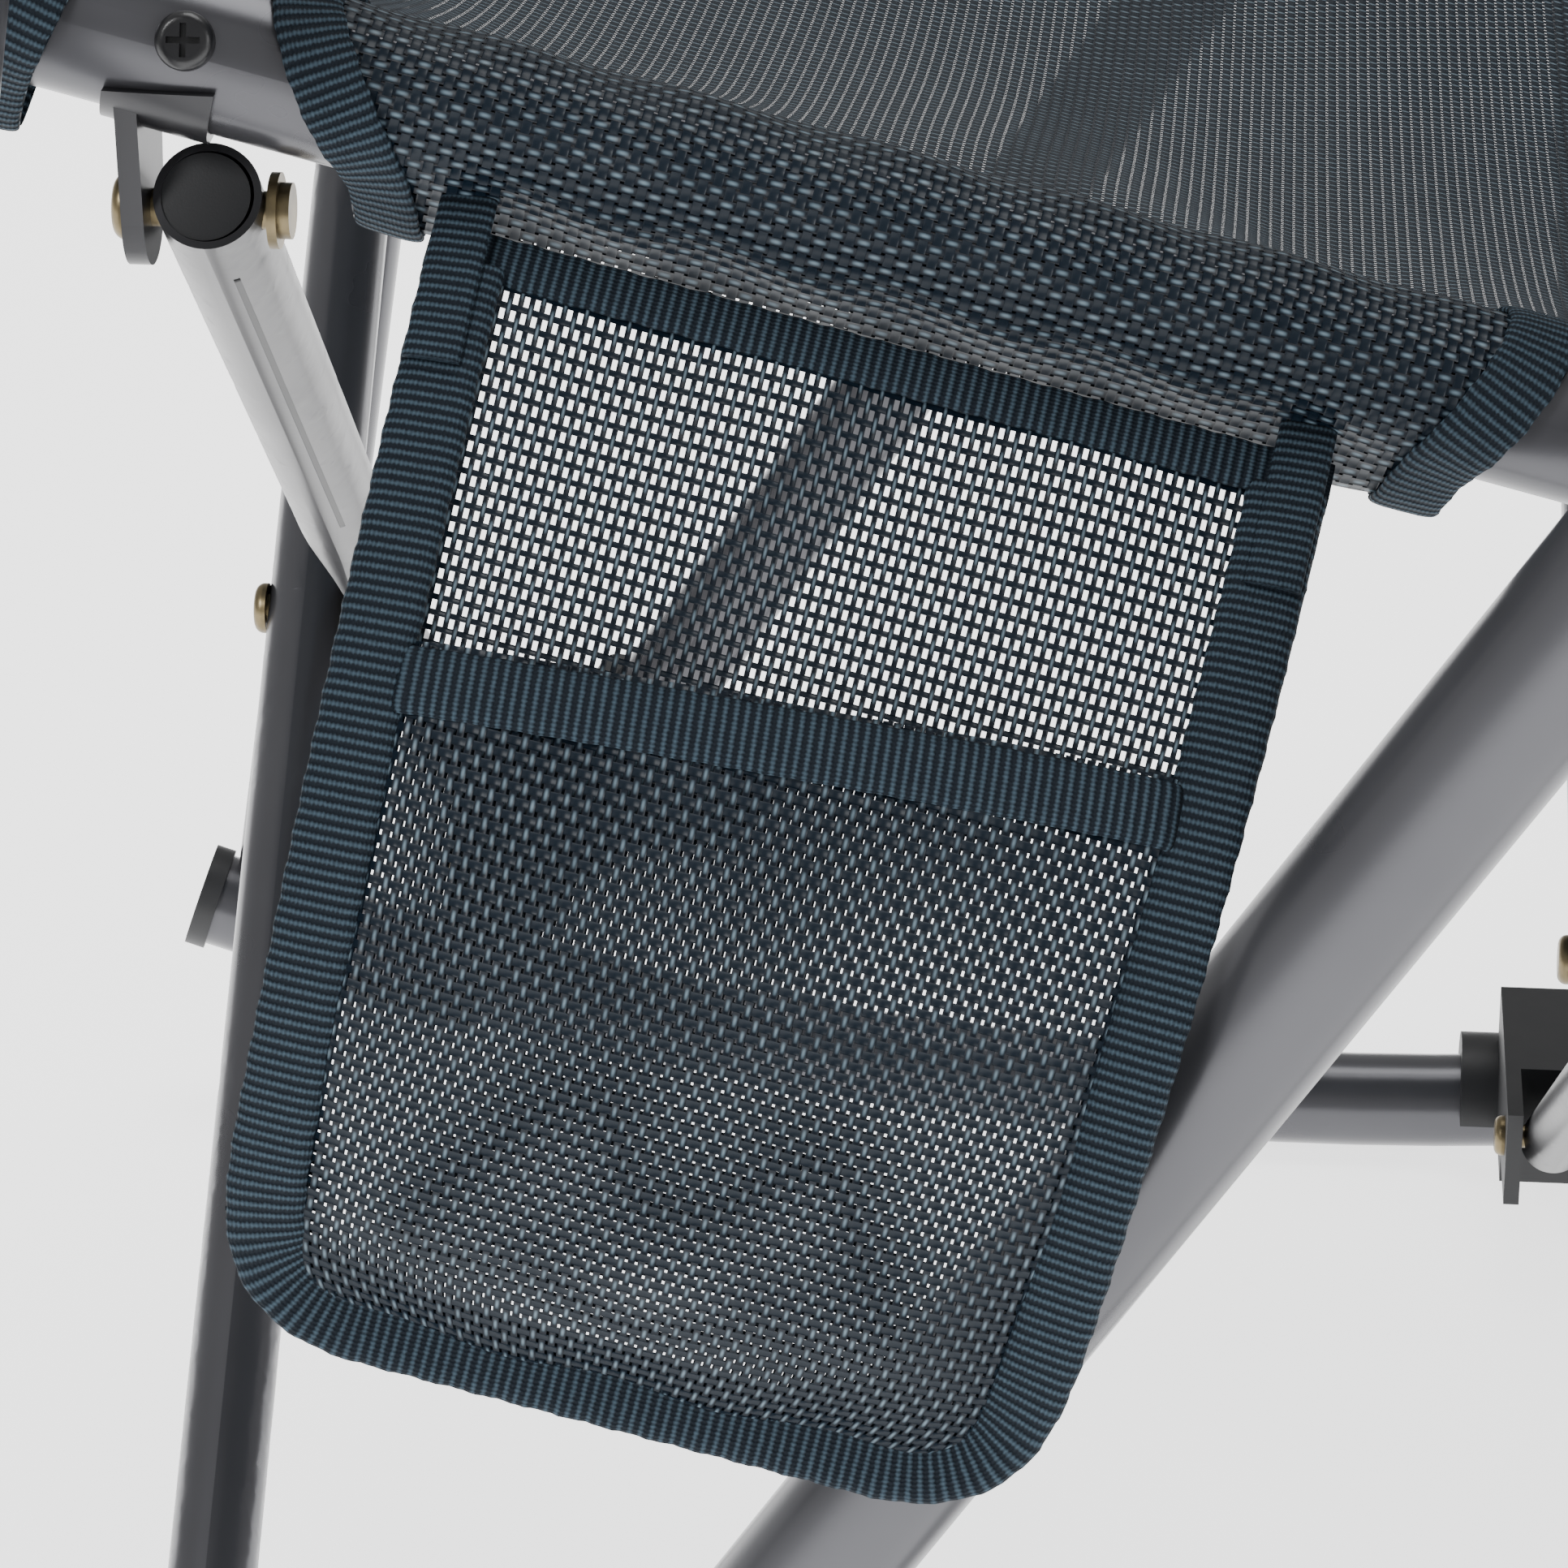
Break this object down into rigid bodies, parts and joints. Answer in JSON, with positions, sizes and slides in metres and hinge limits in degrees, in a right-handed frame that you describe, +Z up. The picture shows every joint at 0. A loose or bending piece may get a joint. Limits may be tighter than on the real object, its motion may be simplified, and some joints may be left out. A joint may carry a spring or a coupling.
{
  "type": "camp rocking chair",
  "caption": "Folding camp chair on curved runners, with crossed bars front and rear, a mesh sling seat and back, and a side pocket.",
  "frame": {"origin": "on the floor, midway across the chair and midway from front to back", "axes": "+Z up, -Y to the front of the chair, +X to the sitter's left"},
  "size_m": [0.696, 0.6222, 0.9674],
  "materials": {
    "frame_paint": "satin",
    "bar_paint": "satin",
    "bracket_steel": "satin",
    "rivet_steel": "satin",
    "black_nylon": "matte",
    "arm_plastic": "matte",
    "pad_rubber": "matte",
    "mesh_fabric": "woven"
  },
  "bodies": {
    "side_left": {"runner_left": "frame_paint", "runner_caps_left": "black_nylon", "runner_pads_left": "pad_rubber", "arm_elbow_left": "black_nylon", "front_leg_left": "frame_paint", "arm_tube_left": "frame_paint", "diagonal_leg_left": "frame_paint", "rear_upright_left": "frame_paint", "upright_cap_left": "black_nylon", "armrest_left": "arm_plastic", "front_hub_left": "black_nylon", "rear_hub_left": "black_nylon", "hub_rivets_left": "rivet_steel", "back_sleeve_left": "mesh_fabric", "back_sling": "mesh_fabric"},
    "side_right": {"runner_right": "frame_paint", "runner_caps_right": "black_nylon", "runner_pads_right": "pad_rubber", "arm_elbow_right": "black_nylon", "front_leg_right": "frame_paint", "arm_tube_right": "frame_paint", "diagonal_leg_right": "frame_paint", "rear_upright_right": "frame_paint", "upright_cap_right": "black_nylon", "armrest_right": "arm_plastic", "front_hub_right": "black_nylon", "rear_hub_right": "black_nylon", "hub_rivets_right": "rivet_steel", "back_sleeve_right": "mesh_fabric"},
    "rail_left": {"rail_left": "frame_paint", "rail_caps_left": "black_nylon", "rail_bracket_front_left": "bracket_steel", "rail_bracket_rear_left": "bracket_steel", "rail_rivets_left": "rivet_steel", "rail_screws_left": "rivet_steel", "seat_sleeve_left": "mesh_fabric", "seat_sling": "mesh_fabric", "side_pocket": "mesh_fabric"},
    "rail_right": {"rail_right": "frame_paint", "rail_caps_right": "black_nylon", "rail_bracket_front_right": "bracket_steel", "rail_bracket_rear_right": "bracket_steel", "rail_rivets_right": "rivet_steel", "rail_screws_right": "rivet_steel", "seat_sleeve_right": "mesh_fabric"},
    "a_front": {"bar_a_front": "frame_paint", "bar_a_plugs_front": "black_nylon", "centre_rivet_front": "rivet_steel"},
    "b_front": {"bar_b_front": "bar_paint", "bar_b_plugs_front": "black_nylon"},
    "a_rear": {"bar_a_rear": "frame_paint", "bar_a_plugs_rear": "black_nylon", "centre_rivet_rear": "rivet_steel"},
    "b_rear": {"bar_b_rear": "bar_paint", "bar_b_plugs_rear": "black_nylon"}
  },
  "joints": [
    {"name": "fold", "type": "hinge", "parent": "side_left", "child": "a_front", "pos_m": [0.258, -0.21104, 0.1055], "axis": [0, 1, 0], "range_deg": [0, 44], "deforming": ["seat_sling", "back_sling", "side_pocket"]},
    {"name": "front_cross", "type": "hinge", "parent": "a_front", "child": "b_front", "pos_m": [0, -0.21754, 0.2856], "axis": [0, 1, 0], "range_deg": [-88, 0]},
    {"name": "right_foot", "type": "hinge", "parent": "b_front", "child": "side_right", "pos_m": [-0.258, -0.21104, 0.1055], "axis": [0, 1, 0], "range_deg": [0, 44]},
    {"name": "left_rail_top", "type": "hinge", "parent": "b_front", "child": "rail_left", "pos_m": [0.258, -0.18704, 0.46571], "axis": [0, 1, 0], "range_deg": [0, 44]},
    {"name": "right_rail_top", "type": "hinge", "parent": "a_front", "child": "rail_right", "pos_m": [-0.258, -0.22404, 0.46571], "axis": [0, 1, 0], "range_deg": [-44, 0]},
    {"name": "rear_foot", "type": "hinge", "parent": "side_left", "child": "a_rear", "pos_m": [0.258, 0.06096, 0.03516], "axis": [0, 1, 0], "range_deg": [0, 44]},
    {"name": "rear_cross", "type": "hinge", "parent": "a_rear", "child": "b_rear", "pos_m": [0, 0.05446, 0.21526], "axis": [0, 1, 0], "range_deg": [-88, 0]}
  ],
  "couplings": [
    {"joint": "front_cross", "follows": "fold", "ratio": -2},
    {"joint": "right_foot", "follows": "fold", "ratio": 1},
    {"joint": "left_rail_top", "follows": "fold", "ratio": 1},
    {"joint": "right_rail_top", "follows": "fold", "ratio": -1},
    {"joint": "rear_foot", "follows": "fold", "ratio": 1},
    {"joint": "rear_cross", "follows": "fold", "ratio": -2}
  ]
}
